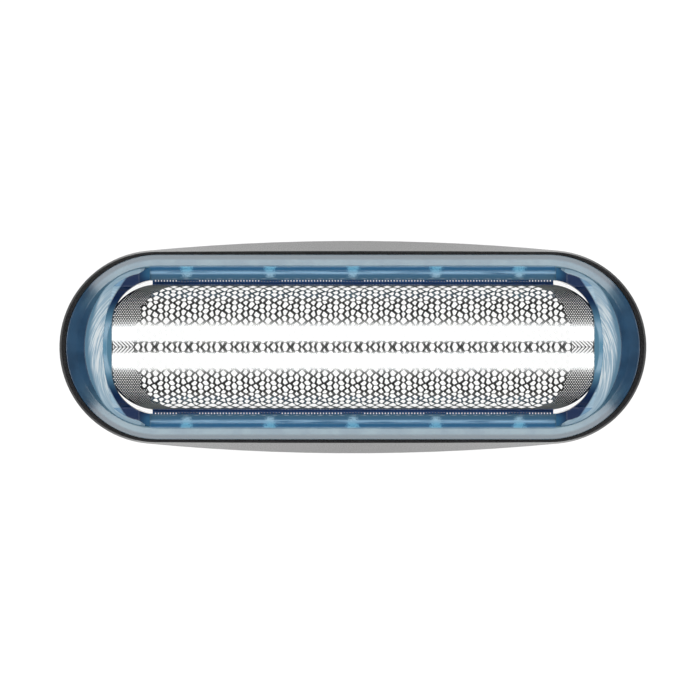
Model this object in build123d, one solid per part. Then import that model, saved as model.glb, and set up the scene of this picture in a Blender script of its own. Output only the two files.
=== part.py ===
from build123d import *
import os
from math import atan2, cos, degrees, floor, radians, sin, sqrt, tan

# A shaver foil head: a black shell, a translucent frame seated in its rim,
# and an arched foil staked to the frame. Millimetres and degrees.
# X runs along the head, Y across it, Z up, with the origin under the middle of the foot.

# Shell
foot_length = 60.8
foot_width = 22.0
foot_bow_radius = 225.0
foot_bevel = 0.4
rim_length = 59.0
rim_width = 19.4
rim_bow_radius = 3000.0
rim_height = 10.1
shell_wall = 1.2
ledge_thickness = 1.0
ledge_side_reach = 0.7
ledge_end_reach = 1.75

# Guide ribs and catches inside the shell, which grip the top of the shaver
guide_rib_width = 1.2
guide_rib_depth = 0.45
guide_rib_height = 5.5
guide_rib_spacing = 26.0
catch_width = 9.0
catch_depth = 0.6
catch_height = 1.2
catch_level = 2.6

# Frame: its rim, the rails along its window and the caps at its ends
rim_side_thickness = 0.3
rim_end_thickness = 0.45
frame_fit = 0.05
frame_proud = 0.2
shoulder_width = 1.1
shoulder_rise = 0.3
rail_width = 1.45
rail_land = 0.15
rail_roll = 0.2
rail_drop = 1.35
cap_end_margin = 0.8
cap_side_margin = 0.2
cap_reach = 6.6
cap_draft = 26.0
cap_slope = 46.0
cap_sink = 0.2
cap_crown = 2.95
cap_lip_thickness = 0.4
cap_hood_thickness = 0.9
cap_sill_height = 1.1
cap_wall = 1.3
window_end_flat = 2.4

# Clips of the frame, which hook under the shell's ledge
clip_width = 5.0
clip_thickness = 1.0
clip_nose = 0.9
clip_nose_height = 1.0
clip_play = 0.1

# Stakes of the frame, melted over under the foil's flange
stake_count = 5
stake_end_margin = 3.7
stake_edge_margin = 0.65
stake_length = 1.3
stake_width = 0.9
stake_head_lap = 0.4
stake_head_height = 0.6
stake_play = 0.1

# Foil
foil_thickness = 0.1
foil_tuck = 0.6
foil_end_flat = 1.25
foil_side_gap = 0.4
foil_cap_gap = 0.15
foil_end_gap = 0.3
foil_bend_radius = 0.15
flange_end_gap = 0.1
flange_side_gap = 0.45

# Perforation of the foil
hole_pitch = 2.7
bar_width = 0.5
field_border = 3.1
field_end_drop = 2.4
field_half_angle = 64.0

# Plan of the frame, worked inwards from the rim
frame_half_length = rim_length / 2 - rim_end_thickness - frame_fit
frame_half_width = rim_width / 2 - rim_side_thickness - frame_fit
crest_half_length = frame_half_length - shoulder_width
crest_half_width = frame_half_width - shoulder_width
cap_tip = crest_half_length - cap_end_margin
cap_half_width = crest_half_width - cap_side_margin
rail_half_length = cap_tip - cap_reach
window_half_length = cap_tip - cap_crown
window_half_width = crest_half_width - rail_width
ledge_half_length = frame_half_length - ledge_end_reach
ledge_half_width = frame_half_width - ledge_side_reach

# Plan of the foil, worked from the window
foil_radius = window_half_width - foil_side_gap
foil_half_length = window_half_length + foil_tuck
core_radius = foil_radius + foil_cap_gap
flange_half_length = rail_half_length - flange_end_gap
flange_edge = ledge_half_width - flange_side_gap
stake_offset = flange_edge - stake_edge_margin
stake_reach = rail_half_length - stake_end_margin

# Levels
side_lean = degrees(atan2((foot_width - rim_width) / 2, rim_height))
shoulder_level = rim_height + frame_proud
crest_level = shoulder_level + shoulder_rise
cap_rise = cap_reach / (1 / tan(radians(cap_slope)) + tan(radians(cap_draft)))
above_all = crest_level + 2 * cap_rise
cap_edge_level = crest_level + (window_half_length - rail_half_length) * tan(radians(cap_slope))
arch_level = cap_edge_level - cap_lip_thickness - core_radius
seat_level = arch_level - foil_bend_radius
ledge_level = seat_level - ledge_thickness
stake_places = [
    (stake_reach * (2 * i / (stake_count - 1) - 1), side * stake_offset)
    for i in range(stake_count)
    for side in (-1, 1)
]


def oval(half_length, half_width, bow_radius):
    """Closed outline with bowed long sides and round ends, all tangent."""
    end_radius = (2 * bow_radius * half_width - half_width**2 - half_length**2) / (
        2 * (bow_radius - half_length)
    )
    end_centre = half_length - end_radius
    lean = atan2(end_centre, bow_radius - half_width)
    joint_x = end_centre + end_radius * sin(lean)
    joint_y = end_radius * cos(lean)
    front = ThreePointArc((-joint_x, -joint_y), (0, -half_width), (joint_x, -joint_y))
    right = ThreePointArc((joint_x, -joint_y), (half_length, 0), (joint_x, joint_y))
    back = ThreePointArc((joint_x, joint_y), (0, half_width), (-joint_x, joint_y))
    left = ThreePointArc((-joint_x, joint_y), (-half_length, 0), (-joint_x, -joint_y))
    return make_face([front, right, back, left])


def foot_outline(inset):
    """The shell's outline at its foot, moved in by a wall."""
    return oval(foot_length / 2 - inset, foot_width / 2 - inset, foot_bow_radius - inset)


def cavity(inset):
    """The space inside the shell below its ledge, with its wall moved in from the outside."""
    return extrude(foot_outline(inset), ledge_level, taper=side_lean)


def facing(side):
    """Leaves a shape as it is for side 1, and turns it half round for side -1."""
    return Rot(0, 0, 90 - 90 * side)


def make_shell():
    rim = Pos(0, 0, rim_height) * oval(rim_length / 2, rim_width / 2, rim_bow_radius)
    body = loft([foot_outline(foot_bevel), Pos(0, 0, foot_bevel) * foot_outline(0), rim], ruled=True)
    body -= cavity(shell_wall)
    ledge_hole = SlotOverall(2 * ledge_half_length, 2 * ledge_half_width)
    body -= Pos(0, 0, ledge_level) * extrude(ledge_hole, rim_height)
    rebate = SlotOverall(2 * (frame_half_length + frame_fit), 2 * (frame_half_width + frame_fit))
    body -= Pos(0, 0, seat_level) * extrude(rebate, rim_height)
    return body + make_guides()


def make_guides():
    """Upright ribs on the long walls and a catch on each end wall, rooted in the shell."""
    inner = cavity(shell_wall / 2)
    near = ledge_half_width - guide_rib_depth
    hung = (Align.CENTER, Align.MIN, Align.MAX)
    rib = Box(guide_rib_width, foot_width / 2 - near, guide_rib_height, align=hung)
    catch_face = foot_length / 2 - shell_wall - catch_depth
    catch = Polyline(
        (catch_face, catch_level + catch_height / 2),
        (foot_length / 2, catch_level + catch_height),
        (foot_length / 2, catch_level - catch_height),
        (catch_face, catch_level - catch_height / 2),
        close=True,
    )
    bar = extrude(Plane.XZ * make_face(catch), catch_width / 2, both=True)
    blocks = []
    for side in (-1, 1):
        for place in (-guide_rib_spacing / 2, guide_rib_spacing / 2):
            blocks.append(facing(side) * Pos(place, near, ledge_level) * rib)
        blocks.append(facing(side) * bar)
    return [block & inner for block in blocks]


def cap_plan(inset):
    """Outline of a cap and its mirror image, round its foot, moved in by a wall."""
    half_length = cap_half_width - inset
    half_width = cap_reach - inset
    return Rot(0, 0, 90) * oval(half_length, half_width, half_length**2 / half_width)


def make_slope(foot, depth):
    """What lies under the slope of a cap, from its foot on X down to a depth."""
    far = foot + 2 * cap_reach
    rise = (far - foot) * tan(radians(cap_slope))
    outline = Polyline((foot, -depth), (foot, 0), (far, rise), (far, -depth), close=True)
    return extrude(Plane.XZ * make_face(outline), frame_half_width, both=True)


def make_hood():
    """What lies under the top of a cap: an arch that follows the foil, with a low sill each side."""
    arch = Pos(0, arch_level - crest_level) * Circle(core_radius + cap_hood_thickness)
    hung = (Align.CENTER, Align.MAX)
    sill = Pos(0, cap_sill_height) * Rectangle(2 * frame_half_width, 2 * cap_rise, align=hung)
    return extrude(Plane.YZ * (arch + sill), 2 * cap_reach)


def make_cap(side):
    """One end cap: a leaning wall under a hood, cut by the slope that climbs from the end of the rails."""
    block = extrude(cap_plan(0), cap_rise, taper=cap_draft) + extrude(cap_plan(0), -cap_sink)
    cap = block & make_slope(0, cap_sink) & make_hood()
    return facing(side) * Pos(rail_half_length, 0, crest_level) * cap


def make_cap_core(side):
    """The hollow under one end cap, open below, that leaves an even wall."""
    plan = cap_plan(cap_wall)
    hollow = extrude(plan, cap_rise, taper=cap_draft) + extrude(plan, -rim_height)
    core = hollow & Pos(0, 0, -cap_wall) * make_slope(cap_wall, rim_height)
    return facing(side) * Pos(rail_half_length, 0, crest_level) * core


def make_window():
    """What is cut for the window that the foil stands in."""
    corner = window_half_width - window_end_flat
    return extrude(RectangleRounded(2 * window_half_length, 2 * window_half_width, corner), above_all)


def make_rail_bevel(side):
    """What is cut from one rail's inner top edge, to leave a slope with a slight roll."""
    edge_y = crest_half_width - rail_land
    mid_y = (edge_y + window_half_width) / 2
    mid_z = crest_level - rail_drop / 2
    run = edge_y - window_half_width
    slant = sqrt(run**2 + rail_drop**2)
    roll_y = mid_y - rail_roll * rail_drop / slant
    roll_z = mid_z + rail_roll * run / slant
    crest = (edge_y, crest_level)
    lip = (window_half_width, crest_level - rail_drop)
    edge = make_face(
        [
            ThreePointArc(crest, (roll_y, roll_z), lip),
            Polyline(lip, (0, crest_level - rail_drop), (0, above_all), (edge_y, above_all), crest),
        ]
    )
    return facing(side) * extrude(Plane.YZ * edge, rail_half_length, both=True)


def make_stakes():
    """Posts through the foil's flange, each melted over into a low head."""
    post = extrude(Rectangle(stake_length, stake_width), -foil_thickness)
    head_plan = Rectangle(stake_length + 2 * stake_head_lap, stake_width + 2 * stake_head_lap)
    head = Pos(0, 0, -foil_thickness) * extrude(head_plan, -stake_head_height)
    return [Pos(x, y, seat_level) * (post + head) for x, y in stake_places]


def make_clip(side):
    """A leg under one end of the frame, with a nose under the shell's ledge."""
    corner_x = ledge_half_length - ledge_half_width + sqrt(ledge_half_width**2 - (clip_width / 2) ** 2)
    face = corner_x - 2 * clip_play
    nose_top = ledge_level - clip_play
    leg = make_face(
        Polyline(
            (face - clip_thickness, seat_level),
            (face, seat_level),
            (face, nose_top),
            (face + clip_nose, nose_top),
            (face, nose_top - clip_nose_height),
            (face - clip_thickness, nose_top - clip_nose_height),
            close=True,
        )
    )
    return facing(side) * extrude(Plane.XZ * leg, clip_width / 2, both=True)


def make_frame():
    outline = SlotOverall(2 * frame_half_length, 2 * frame_half_width)
    crest = SlotOverall(2 * crest_half_length, 2 * crest_half_width)
    body = Pos(0, 0, seat_level) * extrude(outline, shoulder_level - seat_level)
    body += loft([Pos(0, 0, shoulder_level) * outline, Pos(0, 0, crest_level) * crest], ruled=True)
    body += [make_cap(side) for side in (-1, 1)]
    body -= make_window()
    body -= [make_rail_bevel(side) for side in (-1, 1)]
    body -= make_foil_room()
    body -= [make_cap_core(side) for side in (-1, 1)]
    body += make_stakes()
    body += [make_clip(side) for side in (-1, 1)]
    return body


def foil_plan(margin):
    """The arched part of the foil seen from above, with an even margin round it."""
    half_length = foil_half_length + margin
    half_width = foil_radius + margin
    return RectangleRounded(2 * half_length, 2 * half_width, half_width - foil_end_flat)


def make_foil_room():
    """The space that the foil's ends take up under the caps."""
    arch = Plane.YZ * (Pos(0, arch_level) * Circle(core_radius))
    tunnel = extrude(arch, frame_half_length, both=True)
    return tunnel & extrude(foil_plan(foil_end_gap), above_all)


def make_foil():
    """A thin arch with a bent-out flange along each side, trimmed to round ends and perforated."""
    bend_y = foil_radius + foil_bend_radius
    top = seat_level
    bottom = seat_level - foil_thickness
    lean = radians(45)
    outer_bend = foil_bend_radius + foil_thickness

    def arch(radius):
        return ThreePointArc((-radius, arch_level), (0, arch_level + radius), (radius, arch_level))

    def bend(radius, sign):
        return ThreePointArc(
            (sign * (bend_y - radius), arch_level),
            (sign * (bend_y - radius * cos(lean)), arch_level - radius * sin(lean)),
            (sign * bend_y, arch_level - radius),
        )

    def flange(sign):
        near = sign * bend_y
        far = sign * flange_edge
        return Polyline((near, top), (far, top), (far, bottom), (near, bottom))

    section = make_face(
        [
            arch(foil_radius),
            bend(foil_bend_radius, 1),
            flange(1),
            bend(outer_bend, 1),
            arch(foil_radius - foil_thickness),
            bend(outer_bend, -1),
            flange(-1),
            bend(foil_bend_radius, -1),
        ]
    )
    sheet = extrude(Plane.YZ * section, foil_half_length, both=True)
    plan = foil_plan(0) + Rectangle(2 * flange_half_length, 2 * flange_edge)
    sheet &= extrude(plan, above_all)
    stake_hole = Rectangle(stake_length + 2 * stake_play, stake_width + 2 * stake_play)
    sheet -= [Pos(x, y, 0) * extrude(stake_hole, arch_level) for x, y in stake_places]
    return sheet - make_holes()


def make_holes():
    """Staggered hexagons in columns over the arch, each cut square to it, in a field with bowed ends."""
    middle_radius = foil_radius - foil_thickness / 2
    column_step = hole_pitch * sin(radians(60))
    hole_angle = degrees(hole_pitch / middle_radius)
    column_limit = floor((foil_half_length - field_border) / column_step)
    row_limit = floor(field_half_angle / hole_angle)
    hexagon = RegularPolygon((hole_pitch - bar_width) / 2, 6, major_radius=False)
    prism = extrude(hexagon, 2 * foil_thickness, both=True)
    holes = []
    for column in range(-column_limit, column_limit + 1):
        place = column * column_step
        for row in range(-row_limit - 1, row_limit + 1):
            turn = hole_angle * (row + column % 2 / 2)
            half_field = foil_half_length - field_border - field_end_drop * sin(radians(turn)) ** 2
            if abs(turn) <= field_half_angle and abs(place) <= half_field:
                at_angle = Pos(0, 0, arch_level) * Rot(-turn, 0, 0)
                holes.append(at_angle * Pos(place, 0, middle_radius) * prism)
    return holes


os.makedirs("parts", exist_ok=True)
export_step(make_shell(), "parts/outer_shell.step")
export_step(make_frame(), "parts/foil_frame.step")
export_step(make_foil(), "parts/foil.step")
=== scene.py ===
import math
import random

import bpy
import numpy as np
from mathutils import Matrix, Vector
from mathutils.geometry import delaunay_2d_cdt


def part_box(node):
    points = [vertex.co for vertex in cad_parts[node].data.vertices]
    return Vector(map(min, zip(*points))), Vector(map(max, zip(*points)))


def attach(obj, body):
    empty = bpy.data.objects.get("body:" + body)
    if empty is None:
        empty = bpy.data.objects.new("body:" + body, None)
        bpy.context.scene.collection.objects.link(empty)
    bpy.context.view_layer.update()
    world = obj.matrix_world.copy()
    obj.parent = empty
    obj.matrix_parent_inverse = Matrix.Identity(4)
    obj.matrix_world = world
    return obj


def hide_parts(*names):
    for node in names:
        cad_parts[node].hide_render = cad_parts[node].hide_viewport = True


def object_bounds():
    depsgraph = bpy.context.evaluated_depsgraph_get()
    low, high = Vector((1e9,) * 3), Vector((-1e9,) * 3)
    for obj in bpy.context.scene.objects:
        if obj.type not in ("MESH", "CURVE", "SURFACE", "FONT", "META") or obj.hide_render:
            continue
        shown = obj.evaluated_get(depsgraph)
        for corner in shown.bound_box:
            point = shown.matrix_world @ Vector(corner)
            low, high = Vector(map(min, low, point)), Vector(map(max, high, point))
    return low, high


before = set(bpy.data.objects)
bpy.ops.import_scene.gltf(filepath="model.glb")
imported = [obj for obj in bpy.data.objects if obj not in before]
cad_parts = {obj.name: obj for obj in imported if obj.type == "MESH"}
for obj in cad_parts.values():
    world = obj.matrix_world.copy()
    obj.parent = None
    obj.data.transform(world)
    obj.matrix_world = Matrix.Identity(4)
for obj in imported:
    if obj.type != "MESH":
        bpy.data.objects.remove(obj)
cad_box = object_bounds()

# A shaver foil head. The shell and the frame keep their solids, with materials by zone; the
# colours of the frame and the foil paint some light and shade.
# The foil is a sheet of its own, which carries the fine pattern of holes.
# Sizes are in millimetres until MM turns them into metres; the studio's are in metres.
MM = 0.001

# Foil: the form of its solid, with the thickness of a real sheet
ARCH_RADIUS = 6.4
BEND_RADIUS = 0.15
FOIL_THICKNESS = 0.06
FOIL_END_FLAT = 1.25
FLANGE_HALF_LENGTH = 20.4
STAKE_STEP = 8.4
STAKE_X = [i * STAKE_STEP for i in range(-2, 3)]
STAKE_Y = 7.55
STAKE_HOLE = (1.5, 1.1)

# Coarse cells, in staggered columns along the foil and rows round its arch
CELL_SEED = 5
COLUMN_STEP = 0.567
COLUMNS_IN_PERIOD = 6
CELL_STEP = 0.76
CELL_JITTER_X = 0.16
CELL_JITTER_S = 0.2
CELL_WEIGHT = 0.05
CELL_REACH = 2.4 * CELL_STEP
CELL_SHARE = (0.3, 0.7)
CELL_ROUND = 0.15
CELL_SHORT_EDGE = 0.06
CENTRE_HALF = 1.0
CENTRE_WEIGHT = 0.05
CENTRE_BARS = 0.2
FLANK_START = 5.2
FLANK_STRETCH = 0.075
FLANK_THINNING = 0.5
FIELD_HALF_LENGTH = 21.9
FIELD_END_DROP = 2.1
FIELD_CORNER_DROP = 1.3
FIELD_HALF_ARC = 8.6

# Bars between the cells: thin along the foil, heavy across it
BAR_ALONG = 0.04
BAR_ACROSS = 0.21
BAR_TURN = (0.25, 0.65)
BAR_VARIATION = 0.25
BAR_WAVE = 80

# Fine holes and arrow slots past the ends of the cells, and dots beside the bends
HOLE_CORNERS = 6
MICRO_PITCH = 0.24
MICRO_RADIUS = 0.08
MICRO_END = 24.05
MICRO_GAP = 0.06
MICRO_CLEAR = MICRO_RADIUS + MICRO_GAP
MICRO_MARGIN = 3 * MICRO_RADIUS
MICRO_SEARCH = 1.5 * CELL_STEP
ARROW_PITCH = 0.371
ARROW_SLOT = 0.225
ARROW_SPINE = 0.05
ARROW_HALF = 0.7
ARROW_SHORT_EDGE = 0.02
DOT_PITCH = 0.3
DOT_Y = 6.73
DOT_RADIUS = 0.065
DOT_MARGIN = 0.3

# Mesh of the foil: steps of its outline, and rows of points where no cell gives it its curve
OUTLINE_STEPS = 60
PLAIN_RUNS = (8.75, 9.1, 9.45, 9.75)
BEND_SHARES = (0.33, 0.67, 1.0)
ROW_GAP = 0.02
CDT_INSIDE = 1
MERGE_WITHIN = 1e-5

foil_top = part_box("foil")[1]
ARCH_LEVEL = foil_top.z / MM - ARCH_RADIUS
FOIL_HALF_LENGTH = foil_top.x / MM
FLANGE_EDGE = foil_top.y / MM
ARCH_END = ARCH_RADIUS * math.pi / 2
BEND_END = ARCH_END + BEND_RADIUS * math.pi / 2
FLANGE_START = ARCH_RADIUS + BEND_RADIUS
FLANGE_END = BEND_END + FLANGE_EDGE - FLANGE_START


def foil_surface(flat):
    """Place and normal on the foil's upper side, from x and the length round the arch."""
    x = flat[:, 0]
    side = np.where(flat[:, 1] < 0, -1.0, 1.0)
    run = np.abs(flat[:, 1])
    turn = run / ARCH_RADIUS
    bend = (run - ARCH_END) / BEND_RADIUS
    on_arch = run <= ARCH_END
    on_bend = (run > ARCH_END) & (run <= BEND_END)
    y = FLANGE_START + run - BEND_END
    z = np.full_like(x, ARCH_LEVEL - BEND_RADIUS)
    ny = np.zeros_like(x)
    nz = np.ones_like(x)
    y[on_arch] = ARCH_RADIUS * np.sin(turn[on_arch])
    z[on_arch] = ARCH_LEVEL + ARCH_RADIUS * np.cos(turn[on_arch])
    ny[on_arch] = np.sin(turn[on_arch])
    nz[on_arch] = np.cos(turn[on_arch])
    y[on_bend] = FLANGE_START - BEND_RADIUS * np.cos(bend[on_bend])
    z[on_bend] = ARCH_LEVEL - BEND_RADIUS * np.sin(bend[on_bend])
    ny[on_bend] = np.cos(bend[on_bend])
    nz[on_bend] = np.sin(bend[on_bend])
    place = np.stack([x, side * y, z], axis=1)
    normal = np.stack([np.zeros_like(x), side * ny, nz], axis=1)
    return place, normal


def plan_end(run):
    """How far along X the foil reaches, at a length round the arch."""
    if run >= ARCH_END:
        return FLANGE_HALF_LENGTH
    corner = ARCH_RADIUS - FOIL_END_FLAT
    past_flat = max(0.0, ARCH_RADIUS * math.sin(run / ARCH_RADIUS) - FOIL_END_FLAT)
    round_end = FOIL_HALF_LENGTH - corner + math.sqrt(max(0.0, corner**2 - past_flat**2))
    return max(round_end, FLANGE_HALF_LENGTH)


def limited(value, low=0.0, high=1.0):
    return min(max(value, low), high)


def rectangle(x, y, half_x, half_y):
    return [(x - half_x, y - half_y), (x + half_x, y - half_y),
            (x + half_x, y + half_y), (x - half_x, y + half_y)]


def ring(x, run, radius, turn):
    """The corners of a small hole."""
    angles = [turn + i * math.tau / HOLE_CORNERS for i in range(HOLE_CORNERS)]
    return [(x + radius * math.cos(angle), run + radius * math.sin(angle)) for angle in angles]


def clip(polygon, direction, limit):
    """The part of a convex polygon on the near side of a line."""
    kept = []
    for a, b in zip(polygon, polygon[1:] + polygon[:1]):
        over_a = a[0] * direction[0] + a[1] * direction[1] - limit
        over_b = b[0] * direction[0] + b[1] * direction[1] - limit
        if over_a <= 0:
            kept.append(a)
        if over_a * over_b < 0:
            share = over_a / (over_a - over_b)
            kept.append((a[0] + share * (b[0] - a[0]), a[1] + share * (b[1] - a[1])))
    return kept


def rounded(polygon, share):
    """A polygon with each corner taken back along both edges and bowed out between."""
    result = []
    count = len(polygon)
    for i, corner in enumerate(polygon):
        before = polygon[i - 1]
        after = polygon[(i + 1) % count]
        start = [corner[k] + share * (before[k] - corner[k]) for k in (0, 1)]
        end = [corner[k] + share * (after[k] - corner[k]) for k in (0, 1)]
        middle = [0.25 * start[k] + 0.5 * corner[k] + 0.25 * end[k] for k in (0, 1)]
        result += [start, middle, end]
    return result


def without_short_edges(polygon, least):
    """A polygon without the points that follow another within a length."""
    kept = []
    for point in polygon:
        if not kept or math.dist(point, kept[-1]) > least:
            kept.append(point)
    if len(kept) > 1 and math.dist(kept[0], kept[-1]) <= least:
        kept.pop()
    return kept


def gap_to(polygon, x, run):
    """Distance from a point to a polygon's edge, or 0 inside it."""
    a = np.array(polygon)
    b = np.roll(a, -1, axis=0)
    p = np.array((x, run))
    along = b - a
    share = np.clip(((p - a) * along).sum(1) / (along * along).sum(1), 0, 1)
    near = a + share[:, None] * along
    cross = along[:, 0] * (p[1] - a[:, 1]) - along[:, 1] * (p[0] - a[:, 0])
    if (cross > 0).all() or (cross < 0).all():
        return 0.0
    return float(np.hypot(near[:, 0] - x, near[:, 1] - run).min())


def half_field(run):
    """How far along X the coarse cells reach, at a length round the arch."""
    slope = math.sin(run / ARCH_RADIUS) ** 2
    return FIELD_HALF_LENGTH - FIELD_END_DROP * slope - FIELD_CORNER_DROP * slope**4


def cell_centres():
    """Uneven cell centres with their weights, which repeat along X and mirror in Y."""
    draw = random.Random(CELL_SEED)
    last_row = int(FIELD_HALF_ARC / CELL_STEP) + 2
    last_column = int(FOIL_HALF_LENGTH / COLUMN_STEP) + 3

    def placed(row, across):
        run = row * CELL_STEP + across
        return run + FLANK_STRETCH * max(0.0, run - FLANK_START) ** 2

    shifts = {}
    for place in range(COLUMNS_IN_PERIOD):
        for row in range(last_row + 1):
            along = draw.uniform(-CELL_JITTER_X, CELL_JITTER_X) * COLUMN_STEP
            across = draw.uniform(-CELL_JITTER_S, CELL_JITTER_S) * CELL_STEP
            shifts[place, row] = along, across, draw.uniform(-CELL_WEIGHT, CELL_WEIGHT)
    centres = []
    for column in range(-last_column, last_column + 1):
        stagger = 0.5 * (column % 2)
        for row in range(last_row + 1):
            along, across, weight = shifts[column % COLUMNS_IN_PERIOD, row]
            x = column * COLUMN_STEP + along
            if row + stagger == 0:
                centres.append((x, 0.0, weight + CENTRE_WEIGHT))
                continue
            run = placed(row + stagger, across)
            centres += [(x, run, weight), (x, -run, weight)]
    return centres


def coarse_holes():
    """One rounded polygon for each cell of the field, cut back by half a bar on each side."""
    centres = np.array(cell_centres())
    holes = []
    for x, run, weight in centres:
        if abs(run) > FIELD_HALF_ARC or abs(x) > half_field(run):
            continue
        flank = limited((abs(run) - FLANK_START) / (FIELD_HALF_ARC - FLANK_START))
        heavier = CENTRE_BARS if abs(run) < CENTRE_HALF else -FLANK_THINNING * flank
        away = centres[:, :2] - (x, run)
        far = np.hypot(away[:, 0], away[:, 1])
        polygon = rectangle(x, run, CELL_REACH, CELL_REACH)
        for i in np.flatnonzero((far > 0) & (far < 2 * CELL_REACH)):
            direction = away[i] / far[i]
            turned = limited((abs(direction[0]) - BAR_TURN[0]) / (BAR_TURN[1] - BAR_TURN[0]))
            bar = BAR_ALONG + (BAR_ACROSS - BAR_ALONG) * turned
            bar *= 1 + BAR_VARIATION * math.sin(BAR_WAVE * (weight + centres[i, 2])) + heavier
            share = limited(0.5 + (weight - centres[i, 2]) / (2 * far[i] ** 2), *CELL_SHARE)
            middle = x * direction[0] + run * direction[1] + share * far[i]
            polygon = clip(polygon, direction, middle - bar / 2)
        polygon = without_short_edges(polygon, CELL_SHORT_EDGE)
        if len(polygon) > 2:
            holes.append(rounded(polygon, CELL_ROUND))
    return holes


def micro_holes(coarse):
    """Small holes between the coarse cells and the caps, clear of the arrows on the crown."""
    middles = np.array([np.mean(polygon, axis=0) for polygon in coarse])
    row_step = MICRO_PITCH * math.sqrt(3) / 2
    last_row = int(FIELD_HALF_ARC / row_step)
    last_column = int(MICRO_END / MICRO_PITCH)
    holes = []
    for row in range(-last_row, last_row + 1):
        run = row * row_step
        if abs(run) < ARROW_HALF + MICRO_CLEAR:
            continue
        for column in range(-last_column, last_column + 1):
            x = (column + 0.5 * (row % 2)) * MICRO_PITCH
            if abs(x) < half_field(run) - MICRO_SEARCH or abs(x) > MICRO_END:
                continue
            if abs(x) > plan_end(abs(run)) - MICRO_MARGIN:
                continue
            near = np.hypot(middles[:, 0] - x, middles[:, 1] - run) < MICRO_SEARCH
            gaps = [gap_to(coarse[i], x, run) for i in np.flatnonzero(near)]
            if min(gaps, default=math.inf) > MICRO_CLEAR:
                holes.append(ring(x, run, MICRO_RADIUS, math.pi / 6))
    return holes


def arrow_slots(coarse):
    """Slanted slots that meet in a row of arrows, on the crown between the cells and the caps."""
    on_crown = [abs(x) for polygon in coarse for x, run in polygon if abs(run) < ARROW_HALF]
    reach = max(on_crown) + MICRO_GAP
    lean = ARROW_HALF - ARROW_SPINE / 2
    slots = []
    for end in (-1, 1):
        first, last = sorted((end * reach, end * MICRO_END))
        for i in range(int((last - first + lean) / ARROW_PITCH) + 2):
            tip = last + lean - i * ARROW_PITCH
            back = tip - ARROW_SLOT
            for side in (-1, 1):
                inner, outer = side * ARROW_SPINE / 2, side * ARROW_HALF
                slot = [(back, inner), (tip, inner), (tip - lean, outer), (back - lean, outer)]
                slot = clip(clip(slot[::side], (1, 0), last), (-1, 0), -first)
                slot = without_short_edges(slot, ARROW_SHORT_EDGE)
                if len(slot) > 2:
                    slots.append(slot)
    return slots


def flange_holes():
    """A row of dots beside each bend, and a hole round each stake."""
    holes = []
    last = int((FLANGE_HALF_LENGTH - DOT_MARGIN) / DOT_PITCH)
    for side in (-1, 1):
        dots = side * (BEND_END + DOT_Y - FLANGE_START)
        holes += [ring(i * DOT_PITCH, dots, DOT_RADIUS, 0.0) for i in range(-last, last + 1)]
        stakes = side * (BEND_END + STAKE_Y - FLANGE_START)
        holes += [rectangle(x, stakes, STAKE_HOLE[0] / 2, STAKE_HOLE[1] / 2) for x in STAKE_X]
    return holes


def foil_outline():
    """The edge of the foil laid flat, counter-clockwise from the middle of its right end."""
    runs = [i * ARCH_END / OUTLINE_STEPS for i in range(OUTLINE_STEPS + 1)]
    quarter = [(plan_end(run), run) for run in runs]
    quarter += [(FLANGE_HALF_LENGTH, BEND_END), (FLANGE_HALF_LENGTH, FLANGE_END)]
    upper_left = [(-x, run) for x, run in reversed(quarter)]
    lower_left = [(-x, -run) for x, run in quarter[1:]]
    lower_right = [(x, -run) for x, run in reversed(quarter[1:])]
    return quarter + upper_left + lower_left + lower_right


def plain_runs():
    """Lengths round the arch at which a straight row of edges follows the foil's curve."""
    bend = [ARCH_END + share * (BEND_END - ARCH_END) for share in BEND_SHARES]
    return [side * run for run in (*PLAIN_RUNS, ARCH_END, *bend) for side in (-1, 1)]


def flat_foil():
    """The foil laid flat: its points, and its triangles turned counter-clockwise."""
    coarse = coarse_holes()
    loops = [foil_outline()] + coarse + micro_holes(coarse) + arrow_slots(coarse) + flange_holes()
    points = []
    faces = []
    edges = []
    for loop in loops:
        faces.append(list(range(len(points), len(points) + len(loop))))
        points += [Vector(point) for point in loop]
    for run in plain_runs():
        end = plan_end(abs(run)) - ROW_GAP
        edges.append((len(points), len(points) + 1))
        points += [Vector((-end, run)), Vector((end, run))]
    result = delaunay_2d_cdt(points, edges, faces, CDT_INSIDE, MERGE_WITHIN)
    flat, _, triangles, _, _, origins = result
    metal = [t for t, loops_round in zip(triangles, origins) if list(loops_round) == [0]]
    used = sorted({i for t in metal for i in t})
    number = {old: new for new, old in enumerate(used)}
    corners = np.array([(flat[i].x, flat[i].y) for i in used])
    turned = []
    for triangle in metal:
        a, b, c = (number[i] for i in triangle)
        (ax, ay), (bx, by), (cx, cy) = corners[a], corners[b], corners[c]
        area = (bx - ax) * (cy - ay) - (by - ay) * (cx - ax)
        turned.append((a, b, c) if area > 0 else (a, c, b))
    return corners, turned


def into_scene(name, data):
    thing = bpy.data.objects.new(name, data)
    bpy.context.scene.collection.objects.link(thing)
    return thing


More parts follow.
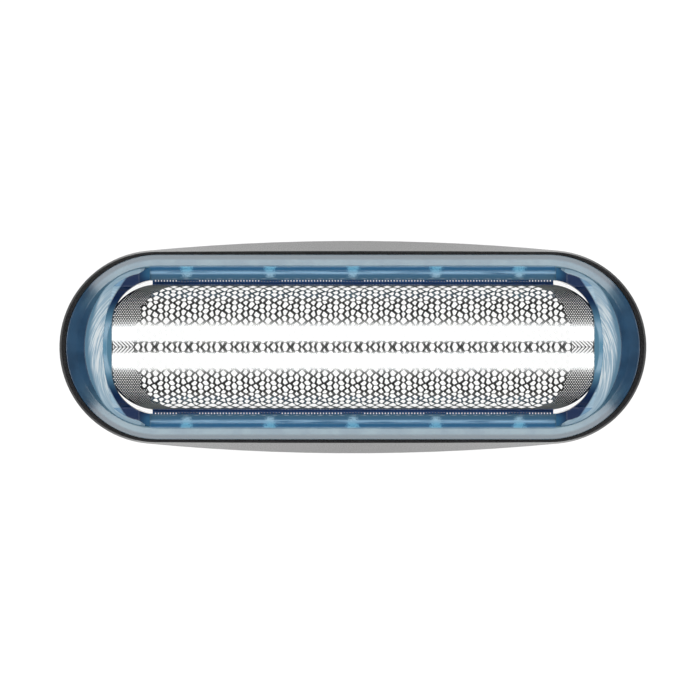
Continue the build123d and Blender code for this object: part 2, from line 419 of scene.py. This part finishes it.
def build_foil():
    """The foil as a closed sheet: an upper side, a lower side and the walls of all its edges."""
    flat, upper = flat_foil()
    place, normal = foil_surface(flat)
    count = len(flat)
    directed = {(t[i], t[(i + 1) % 3]) for t in upper for i in range(3)}
    border = sorted(edge for edge in directed if edge[::-1] not in directed)
    lower = [(c + count, b + count, a + count) for a, b, c in upper]
    walls = [(b, a, a + count, b + count) for a, b in border]
    vertices = np.concatenate([place, place - normal * FOIL_THICKNESS]) * MM
    mesh = bpy.data.meshes.new("foil_sheet")
    mesh.from_pydata(vertices.tolist(), [], upper + lower + walls)
    mesh.validate()
    mesh.polygons.foreach_set("use_smooth", [True] * len(mesh.polygons))
    mesh.update()
    loop_normals = []
    for polygon in mesh.polygons:
        if len(polygon.vertices) == 4:
            loop_normals += [tuple(polygon.normal)] * 4
        else:
            for i in polygon.vertices:
                loop_normals.append(tuple(normal[i] if i < count else -normal[i - count]))
    mesh.normals_split_custom_set(loop_normals)
    return into_scene("foil_sheet", mesh)


# Sockets of the Mix node that take and give colours
MIX_FACTOR, MIX_FIRST, MIX_SECOND, MIX_RESULT = 0, 6, 7, 2


def new_material(name):
    material = bpy.data.materials.new(name)
    material.use_nodes = True
    material.node_tree.nodes.clear()
    return material, material.node_tree


def put(tree, socket, value):
    """Link a socket to another one, or set it to a value."""
    if isinstance(value, bpy.types.NodeSocket):
        tree.links.new(value, socket)
    else:
        socket.default_value = value


def add(tree, kind, settings=None, **inputs):
    """A node of a kind, with its settings, and its inputs by name or, as i0, by number."""
    node = tree.nodes.new(kind)
    for key, value in (settings or {}).items():
        setattr(node, key, value)
    for key, value in inputs.items():
        numbered = key[0] == "i" and key[1:].isdigit()
        put(tree, node.inputs[int(key[1:]) if numbered else key.replace("_", " ")], value)
    return node


def calc(tree, operation, a, b=0.0, c=0.0):
    return add(tree, "ShaderNodeMath", {"operation": operation}, i0=a, i1=b, i2=c).outputs[0]


def product(tree, first, *others):
    for other in others:
        first = calc(tree, "MULTIPLY", first, other)
    return first


def hypotenuse(tree, a, b):
    return calc(tree, "SQRT", calc(tree, "MULTIPLY_ADD", a, a, calc(tree, "MULTIPLY", b, b)))


def ramp(tree, value, low, high, to_low=0.0, to_high=1.0):
    """Smooth step of a value from one range to another, clamped."""
    node = add(tree, "ShaderNodeMapRange", {"interpolation_type": "SMOOTHSTEP"},
               Value=value, From_Min=low, From_Max=high, To_Min=to_low, To_Max=to_high)
    return node.outputs[0]


def blend(tree, factor, first, second):
    node = add(tree, "ShaderNodeMix", {"data_type": "RGBA"})
    put(tree, node.inputs[MIX_FACTOR], factor)
    put(tree, node.inputs[MIX_FIRST], first)
    put(tree, node.inputs[MIX_SECOND], second)
    return node.outputs[MIX_RESULT]


def rgb(red, green, blue):
    """A colour as it shows on screen, 0 to 255, in linear light."""
    def linear(level):
        share = level / 255
        return share / 12.92 if share <= 0.04045 else ((share + 0.055) / 1.055) ** 2.4
    return (linear(red), linear(green), linear(blue), 1.0)


def shaded_spot(tree):
    """The shaded point, in millimetres."""
    coords = add(tree, "ShaderNodeTexCoord").outputs["Object"]
    node = add(tree, "ShaderNodeVectorMath", {"operation": "SCALE"}, Vector=coords, Scale=1 / MM)
    return node.outputs[0]


def split(tree, vector):
    """x, y and z of a vector."""
    return tuple(add(tree, "ShaderNodeSeparateXYZ", Vector=vector).outputs)


def noise(tree, vector, scale, detail, squeeze=None):
    """Noise from 0 to 1, squeezed along x, y and z by three factors."""
    if squeeze:
        node = add(tree, "ShaderNodeVectorMath", {"operation": "MULTIPLY"}, i0=vector, i1=squeeze)
        vector = node.outputs[0]
    node = add(tree, "ShaderNodeTexNoise", Vector=vector, Scale=scale, Detail=detail)
    return node.outputs["Fac"]


def bevelled(tree, radius):
    """A normal that rounds sharp edges."""
    return add(tree, "ShaderNodeBevel", {"samples": BEVEL_SAMPLES}, Radius=radius).outputs[0]


def finish_material(tree, shader):
    output = add(tree, "ShaderNodeOutputMaterial")
    tree.links.new(shader.outputs[0], output.inputs["Surface"])


# Limits, in what follows, are a pair: where a zone begins and where it is complete.
# Four values are such a pair and the two levels that it is mapped to.
# Noises are given by scale, detail and squeeze. Colours are as they show on screen.
CLOUDY = (0.3, 0.7)
BEVEL_SAMPLES = 6
SOFT = 0.1

# Foil, by height and by distance from its middle line
FOIL_GRAIN = (1.0, 3.0, (0.6, 14.0, 14.0))
FOIL_CLOUD = (0.35, 2.0)
FOIL_BRIGHT_LIMITS = (10.0, 12.6)
FOIL_EDGE_LIMITS = (11.4, 9.8)
FLANGE_LIMITS = (8.2, 7.6)
GLINT_OUTSIDE = (1.4, 2.2)
GLINT_FADE = (4.4, 3.2)
FOIL_BRIGHT = (rgb(176, 178, 179), rgb(196, 197, 195))
# Painted shade: the foil darker down the sides of its arch
FOIL_PAINTED_SHADE = rgb(82, 78, 72)
# Painted highlight: the foil paler near the bends, where it is also less metallic
FOIL_EDGE_HIGHLIGHT = rgb(174, 174, 168)
# Painted reflection: the frame's blue on the foil's flange
FLANGE_REFLECTED_BLUE = rgb(86, 128, 196)
EDGE_METALLIC = 0.6
FLANGE_METALLIC = 0.2
FOIL_ROUGHNESS = 0.1
GRAIN_ROUGHNESS = 0.12
GLINT_ROUGHNESS = 0.08
FOIL_BUMP = {"Strength": 0.05, "Distance": 0.02 * MM}


def foil_material():
    """Bright metal with painted shade down its sides, a painted highlight near the bends, and a
    flange painted with a reflection of the frame's blue.
    """
    material, tree = new_material("foil_metal")
    spot = shaded_spot(tree)
    _, y, z = split(tree, spot)
    across = calc(tree, "ABSOLUTE", y)
    grain = noise(tree, spot, *FOIL_GRAIN)
    cloud = noise(tree, spot, *FOIL_CLOUD)
    on_flange = ramp(tree, z, *FLANGE_LIMITS)

    colour = blend(tree, ramp(tree, cloud, *CLOUDY), *FOIL_BRIGHT)
    # Painted shade: darker down the sides of the arch
    colour = blend(tree, ramp(tree, z, *FOIL_BRIGHT_LIMITS), FOIL_PAINTED_SHADE, colour)
    # Painted highlight: paler near the bends, with less metal so that the lamps light it
    colour = blend(tree, ramp(tree, z, *FOIL_EDGE_LIMITS), colour, FOIL_EDGE_HIGHLIGHT)
    # Painted reflection of the frame's blue on the flange
    colour = blend(tree, on_flange, colour, FLANGE_REFLECTED_BLUE)

    metal = ramp(tree, z, *FOIL_EDGE_LIMITS, 1.0, EDGE_METALLIC)
    metal = calc(tree, "MULTIPLY_ADD", on_flange, FLANGE_METALLIC - EDGE_METALLIC, metal)
    by_glint = product(tree, ramp(tree, across, *GLINT_OUTSIDE), ramp(tree, across, *GLINT_FADE))
    rough = calc(tree, "MULTIPLY_ADD", by_glint, GLINT_ROUGHNESS, FOIL_ROUGHNESS)
    rough = calc(tree, "MULTIPLY_ADD", grain, GRAIN_ROUGHNESS, rough)
    bump = add(tree, "ShaderNodeBump", Height=grain, **FOIL_BUMP).outputs[0]
    shader = add(tree, "ShaderNodeBsdfPrincipled", Base_Color=colour, Metallic=metal,
                 Roughness=rough, Normal=bump)
    finish_material(tree, shader)
    return material


# Frame: its own sizes
END_CENTRE = 19.65
RAIL_END = 20.5
CREST_Y = 8.25
CREST_LEVEL = 10.6
LIP_Y = 6.8
RING_CENTRE = 13.75
RING_RADIUS = 11.45

# Frame: noises, and zones by place and by the way a face looks
FRAME_CLOUD = (0.45, 3.0)
FRAME_FINE = (6.0, 3.0)
FRAME_STREAK = (1.0, 3.0, (0.25, 3.5, 3.5))
FACES_OUT = (-0.05, -0.15)
FACES_IN = (0.3, 0.5)
FACES_UP = (0.7, 0.9)
SLOPE_LIMITS = (8.7, 9.0)
SIDE_LIMITS = (0.35, 0.95)
CREST_FADE = (CREST_Y - 0.02, CREST_Y - 0.2)
RAIL_SLOPE = (LIP_Y, CREST_Y - 0.15)
HIGHLIGHT_INNER = (7.3, 7.48)
HIGHLIGHT_OUTER = (7.74, 7.56)
HIGHLIGHT_BREAKS = (0.25, 0.6)
STAKE_HALF = (0.3, 0.56)
STAKE_RAG = 0.9
STAKE_BLUR = 0.3
STAKE_INNER = (LIP_Y + 0.1, LIP_Y + 0.35)
STAKE_SLOPE = (7.9, 7.2)
STAKE_MOTTLE = (0.2, 0.55, 0.45, 1.0)
LAST_STAKE = (18.5, 18.3)
CAP_LIMITS = (CREST_LEVEL + 0.02, CREST_LEVEL + 0.1)
CAP_MIDDLE = (6.0, 2.5)
HOOD_LIMITS = (2.0, 5.0)
STOP_ALONG = (RAIL_END + 1.3, RAIL_END)
STOP_ACROSS = (LIP_Y - 0.4, LIP_Y + 0.5)

# Frame: scratches on the frosted caps
SCRATCH_RADIUS = 7.0
SCRATCH_LEAN = 0.5
SCRATCH_ALONG = 0.35
SCRATCH_ACROSS = 3.2
SCRATCH_NOISE = (1.0, 5.0)
SCRATCH_LIMITS = (0.42, 0.6)

# Frame: what changes towards a cap's middle, as a factor of that and a constant:
# the strength of the scratches, and the heights above the crest where the frost grows pale
SCRATCH_STRENGTH = (0.75, 0.25)
PALE_FROM = (0.5, 0.05)
PALE_TO = (1.5, 0.3)

# Frame: colours and surface, with painted light and shade in many of the colours
# Painted sheen and shade: the shoulder paler by the crest, darker on its outer slope; random tones
# within each
SHOULDER_TONES_AND_SHEEN = (rgb(66, 100, 118), rgb(84, 116, 130))
SHOULDER_SLOPE_SHADE = rgb(22, 58, 76)
# Painted shade: the end walls darker than the long sides, with random tones
END_WALL_TONES_AND_SHADE = (rgb(30, 56, 80), rgb(40, 70, 96))
# Painted shading across the rails: deeper near the crest, lighter down to the lip
RAIL_SHADING = (rgb(72, 112, 140), rgb(38, 86, 122))
# Painted highlight along the rails
RAIL_HIGHLIGHT = rgb(126, 166, 196)
# Painted light: pale spots where light comes through the plastic at the stakes
STAKE_LIGHT = (rgb(92, 152, 182), rgb(144, 182, 205))
# Painted shade: the hoods lighter at a cap's middle, dark navy towards its corners; beside the
# rail ends the shade gives way to the rail's blue
HOOD_SHADE = (rgb(78, 122, 146), rgb(10, 33, 68))
RAIL_STOP = rgb(40, 88, 122)
FROST = (rgb(94, 136, 162), rgb(158, 190, 210))
FROST_SCRATCH = rgb(238, 247, 251)
FROST_FLAT = rgb(84, 122, 150)
FRAME_ROUGHNESS = 0.07
FINE_ROUGHNESS = 0.1
CAP_ROUGHNESS = 0.1
FROST_ROUGHNESS = 0.3
FINE_RELIEF = 0.2
FRAME_IOR = 1.58
FRAME_COAT = 0.6
COAT_ROUGHNESS = 0.08
FRAME_BEVEL = 0.15 * MM
FRAME_BUMP = {"Strength": 0.15, "Distance": 0.03 * MM}


def rail_colour(tree, x, across, along, fine, streak):
    """The rails' blue with painted shading across them, a broken painted highlight along them, and
    painted light through the plastic at the stakes.
    """
    # Painted shading across the rail
    rail = blend(tree, ramp(tree, across, *RAIL_SLOPE), *RAIL_SHADING)
    # Painted highlight along the rail, broken by streaks
    line = product(tree, ramp(tree, across, *HIGHLIGHT_INNER), ramp(tree, across, *HIGHLIGHT_OUTER),
                   ramp(tree, streak, *HIGHLIGHT_BREAKS))
    rail = blend(tree, line, rail, RAIL_HIGHLIGHT)
    # Painted light through the plastic at each stake, paler lower down
    shifted = calc(tree, "ADD", x, STAKE_STEP / 2)
    shifted = calc(tree, "FLOORED_MODULO", shifted, STAKE_STEP)
    from_stake = calc(tree, "ABSOLUTE", calc(tree, "SUBTRACT", shifted, STAKE_STEP / 2))
    half = ramp(tree, across, LIP_Y, CREST_Y, *STAKE_HALF)
    half = calc(tree, "MULTIPLY_ADD", fine, STAKE_RAG, calc(tree, "SUBTRACT", half, STAKE_RAG / 2))
    over = calc(tree, "SUBTRACT", from_stake, half)
    stake_light = product(tree, ramp(tree, over, STAKE_BLUR, -STAKE_BLUR),
                       ramp(tree, across, *STAKE_INNER), ramp(tree, along, *LAST_STAKE),
                       ramp(tree, fine, *STAKE_MOTTLE))
    return blend(tree, stake_light, rail, blend(tree, ramp(tree, across, *STAKE_SLOPE), *STAKE_LIGHT))


def frame_material():
    """Blue plastic by zones, with painted light and shade: a painted sheen on the shoulder,
    painted shade on its outer slope, the end walls and the hoods, rails with painted shading and a
    painted highlight, painted light at the stakes, and frosted, scratched caps.
    """
    material, tree = new_material("frame_plastic")
    spot = shaded_spot(tree)
    x, y, z = split(tree, spot)
    across = calc(tree, "ABSOLUTE", y)
    along = calc(tree, "ABSOLUTE", x)
    end_side = calc(tree, "SIGN", x)
    outward = calc(tree, "SUBTRACT", along, END_CENTRE)
    radius = hypotenuse(tree, calc(tree, "MAXIMUM", outward, 0.0), y)
    sideways = calc(tree, "DIVIDE", across, radius)
    facing = split(tree, add(tree, "ShaderNodeNewGeometry").outputs["True Normal"])
    inward = product(tree, facing[0], end_side, -1.0)
    cloud = ramp(tree, noise(tree, spot, *FRAME_CLOUD), *CLOUDY)
    fine = noise(tree, spot, *FRAME_FINE)
    streak = noise(tree, spot, *FRAME_STREAK)

    # Painted sheen on the shoulder, painted shade on its outer slope and on the end walls
    side = blend(tree, cloud, *SHOULDER_TONES_AND_SHEEN)
    side = blend(tree, ramp(tree, radius, *SLOPE_LIMITS), side, SHOULDER_SLOPE_SHADE)
    colour = blend(tree, ramp(tree, sideways, *SIDE_LIMITS), blend(tree, cloud, *END_WALL_TONES_AND_SHADE), side)

    on_rail = product(tree, ramp(tree, along, RAIL_END + SOFT, RAIL_END - SOFT),
                      ramp(tree, across, *CREST_FADE))
    rail = rail_colour(tree, x, across, along, fine, streak)
    colour = blend(tree, on_rail, colour, rail)

    on_cap = ramp(tree, z, *CAP_LIMITS)
    past_rail = ramp(tree, along, RAIL_END - SOFT, RAIL_END + SOFT)
    inner_face = product(tree, past_rail, ramp(tree, inward, *FACES_IN))
    # Painted shade on the hoods and inner faces, lifted to the rail's blue beside the rail ends
    hood_shade = blend(tree, ramp(tree, across, *HOOD_LIMITS), *HOOD_SHADE)
    by_rail = product(tree, ramp(tree, along, *STOP_ALONG), ramp(tree, across, *STOP_ACROSS))
    hood_shade = blend(tree, by_rail, hood_shade, RAIL_STOP)
    colour = blend(tree, calc(tree, "MAXIMUM", on_cap, inner_face), colour, hood_shade)

    from_ring = hypotenuse(tree, calc(tree, "SUBTRACT", along, RING_CENTRE), y)
    past_ring = ramp(tree, from_ring, RING_RADIUS - SOFT, RING_RADIUS + SOFT)
    outer = calc(tree, "MAXIMUM", ramp(tree, inward, *FACES_OUT), past_ring)
    frost = product(tree, on_cap, outer)
    turn = calc(tree, "MULTIPLY", calc(tree, "ARCTAN2", y, outward), SCRATCH_RADIUS)
    tilted = calc(tree, "SUBTRACT", z, calc(tree, "MULTIPLY", turn, SCRATCH_LEAN))
    scratch_spot = add(tree, "ShaderNodeCombineXYZ", X=calc(tree, "MULTIPLY", turn, SCRATCH_ALONG),
                       Y=calc(tree, "MULTIPLY", tilted, SCRATCH_ACROSS), Z=end_side).outputs[0]
    scratch = ramp(tree, noise(tree, scratch_spot, *SCRATCH_NOISE), *SCRATCH_LIMITS)
    middle = ramp(tree, across, *CAP_MIDDLE)
    height = calc(tree, "SUBTRACT", z, CREST_LEVEL)
    pale = ramp(tree, height, calc(tree, "MULTIPLY_ADD", middle, *PALE_FROM),
                calc(tree, "MULTIPLY_ADD", middle, *PALE_TO))
    strength = calc(tree, "MULTIPLY_ADD", middle, *SCRATCH_STRENGTH)
    frosted = blend(tree, pale, *FROST)
    frosted = blend(tree, product(tree, scratch, pale, strength), frosted, FROST_SCRATCH)
    frosted = blend(tree, ramp(tree, facing[2], *FACES_UP), frosted, FROST_FLAT)
    colour = blend(tree, frost, colour, frosted)

    rough = calc(tree, "MULTIPLY_ADD", fine, FINE_ROUGHNESS, FRAME_ROUGHNESS)
    rough = calc(tree, "MULTIPLY_ADD", on_cap, CAP_ROUGHNESS, rough)
    rough = calc(tree, "MULTIPLY_ADD", frost, FROST_ROUGHNESS, rough)
    coat = calc(tree, "MULTIPLY_ADD", on_cap, -FRAME_COAT, FRAME_COAT)
    relief = calc(tree, "MULTIPLY_ADD", fine, FINE_RELIEF, product(tree, frost, scratch))
    bump = add(tree, "ShaderNodeBump", Height=relief, Normal=bevelled(tree, FRAME_BEVEL),
               **FRAME_BUMP).outputs[0]
    shader = add(tree, "ShaderNodeBsdfPrincipled", Base_Color=colour, Roughness=rough,
                 IOR=FRAME_IOR, Normal=bump, Coat_Weight=coat, Coat_Roughness=COAT_ROUGHNESS)
    finish_material(tree, shader)
    return material


# Shell
SHELL_FINE = (9.0, 3.0)
SHELL_CLOUD = (0.3, 2.0)
SHELL_BLACK = (rgb(12, 12, 14), rgb(24, 24, 26))
SHELL_ROUGHNESS = (0.25, 0.75, 0.2, 0.36)
SHELL_IOR = 1.36
SHELL_BEVEL = 0.12 * MM
SHELL_BUMP = {"Strength": 0.04, "Distance": 0.03 * MM}


def shell_material():
    """Black plastic with a fine grain."""
    material, tree = new_material("shell_plastic")
    spot = shaded_spot(tree)
    fine = noise(tree, spot, *SHELL_FINE)
    cloud = noise(tree, spot, *SHELL_CLOUD)
    colour = blend(tree, ramp(tree, cloud, *CLOUDY), *SHELL_BLACK)
    rough = ramp(tree, fine, *SHELL_ROUGHNESS)
    bump = add(tree, "ShaderNodeBump", Height=fine, Normal=bevelled(tree, SHELL_BEVEL),
               **SHELL_BUMP).outputs[0]
    shader = add(tree, "ShaderNodeBsdfPrincipled", Base_Color=colour, Roughness=rough,
                 IOR=SHELL_IOR, Normal=bump)
    finish_material(tree, shader)
    return material


# Floor: where it dims in reflections, in millimetres from the middle, and how it glows
FLOOR_BESIDE = (25.0, 45.0)
FLOOR_PAST_ENDS = (20.0, 28.0)
FLOOR_FAR_LEVEL = 0.12
FLOOR_GLOW = 0.95
FLOOR_MATT = (0.12, 0.12, 0.12, 1.0)


def floor_material():
    """White to the camera, and to reflections near the object, with the object's shadow on it."""
    material, tree = new_material("floor_white")
    path = add(tree, "ShaderNodeLightPath").outputs
    x, y, _ = split(tree, shaded_spot(tree))
    beside = ramp(tree, calc(tree, "ABSOLUTE", y), *FLOOR_BESIDE, 1.0, FLOOR_FAR_LEVEL)
    past_ends = ramp(tree, calc(tree, "ABSOLUTE", x), *FLOOR_PAST_ENDS, 1.0, FLOOR_FAR_LEVEL)
    mirrored = calc(tree, "MAXIMUM", path["Is Glossy Ray"], path["Is Transmission Ray"])
    mirrored = product(tree, mirrored, beside, past_ends)
    seen = calc(tree, "MAXIMUM", path["Is Camera Ray"], mirrored)
    glow = add(tree, "ShaderNodeEmission", Strength=calc(tree, "MULTIPLY", seen, FLOOR_GLOW))
    matt = add(tree, "ShaderNodeBsdfDiffuse", Color=FLOOR_MATT)
    shader = add(tree, "ShaderNodeAddShader", i0=glow.outputs[0], i1=matt.outputs[0])
    finish_material(tree, shader)
    return material


# Studio: a white floor, a long soft lamp on each side, a small lamp past each end,
# and a camera straight above
FLOOR_HALF = 2.0
FLOOR_GAP = 0.00002
LAMP_HEIGHT = 0.5
LAMP_NEAR = 0.1
LAMP_FAR = 0.4
LAMP_LENGTH = 0.56
LAMP_RADIANCE = 2.9
END_LAMP_SIZE = 0.25
END_LAMP_PLACE = (0.35, 0.22)
END_LAMP_RADIANCE = 2.6
WATTS_FOR_RADIANCE = 4
WORLD_LEVEL = 0.05
CAMERA_HEIGHT = 0.41
CAMERA_SHIFT = (-0.0003, -0.0003)
CAMERA_SENSOR = 36.0
VIEW_WIDTH = 0.0708
RIM_LEVEL = 0.01


def add_lamp(name, length, width, radiance):
    lamp = bpy.data.lights.new(name, "AREA")
    lamp.shape = "RECTANGLE"
    lamp.size = length
    lamp.size_y = width
    lamp.energy = WATTS_FOR_RADIANCE * length * width * radiance
    return into_scene(name, lamp)


def build_stage():
    """The floor, the lamps, the world and the camera."""
    mesh = bpy.data.meshes.new("floor")
    corners = [(*corner, 0) for corner in rectangle(0, 0, FLOOR_HALF, FLOOR_HALF)]
    mesh.from_pydata(corners, [], [(0, 1, 2, 3)])
    mesh.materials.append(floor_material())
    floor = into_scene("floor", mesh)
    floor.location.z = cad_box[0].z - FLOOR_GAP
    for side in (-1, 1):
        strip = add_lamp("strip", LAMP_LENGTH, LAMP_FAR - LAMP_NEAR, LAMP_RADIANCE)
        strip.location = (0, side * (LAMP_FAR + LAMP_NEAR) / 2, LAMP_HEIGHT)
        end = add_lamp("end_lamp", END_LAMP_SIZE, END_LAMP_SIZE, END_LAMP_RADIANCE)
        end.location = (side * END_LAMP_PLACE[0], 0, END_LAMP_PLACE[1])
        end.rotation_euler = (0, side * math.atan2(*END_LAMP_PLACE), 0)
    world = bpy.data.worlds.new("studio")
    world.use_nodes = True
    sky = world.node_tree.nodes["Background"].inputs[0]
    sky.default_value = (WORLD_LEVEL, WORLD_LEVEL, WORLD_LEVEL, 1.0)
    bpy.context.scene.world = world
    lens = bpy.data.cameras.new("camera")
    lens.sensor_width = CAMERA_SENSOR
    lens.lens = CAMERA_SENSOR * (CAMERA_HEIGHT - RIM_LEVEL) / VIEW_WIDTH
    camera = into_scene("camera", lens)
    camera.location = (*CAMERA_SHIFT, CAMERA_HEIGHT)
    bpy.context.scene.camera = camera
    bpy.context.scene.view_settings.view_transform = "Standard"


def dress(node, material):
    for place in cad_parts[node].material_slots:
        place.material = material


build_stage()
foil = build_foil()
foil.data.materials.append(foil_material())
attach(foil, "root")
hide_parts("foil")
dress("foil_frame", frame_material())
dress("outer_shell", shell_material())

bpy.context.view_layer.update()
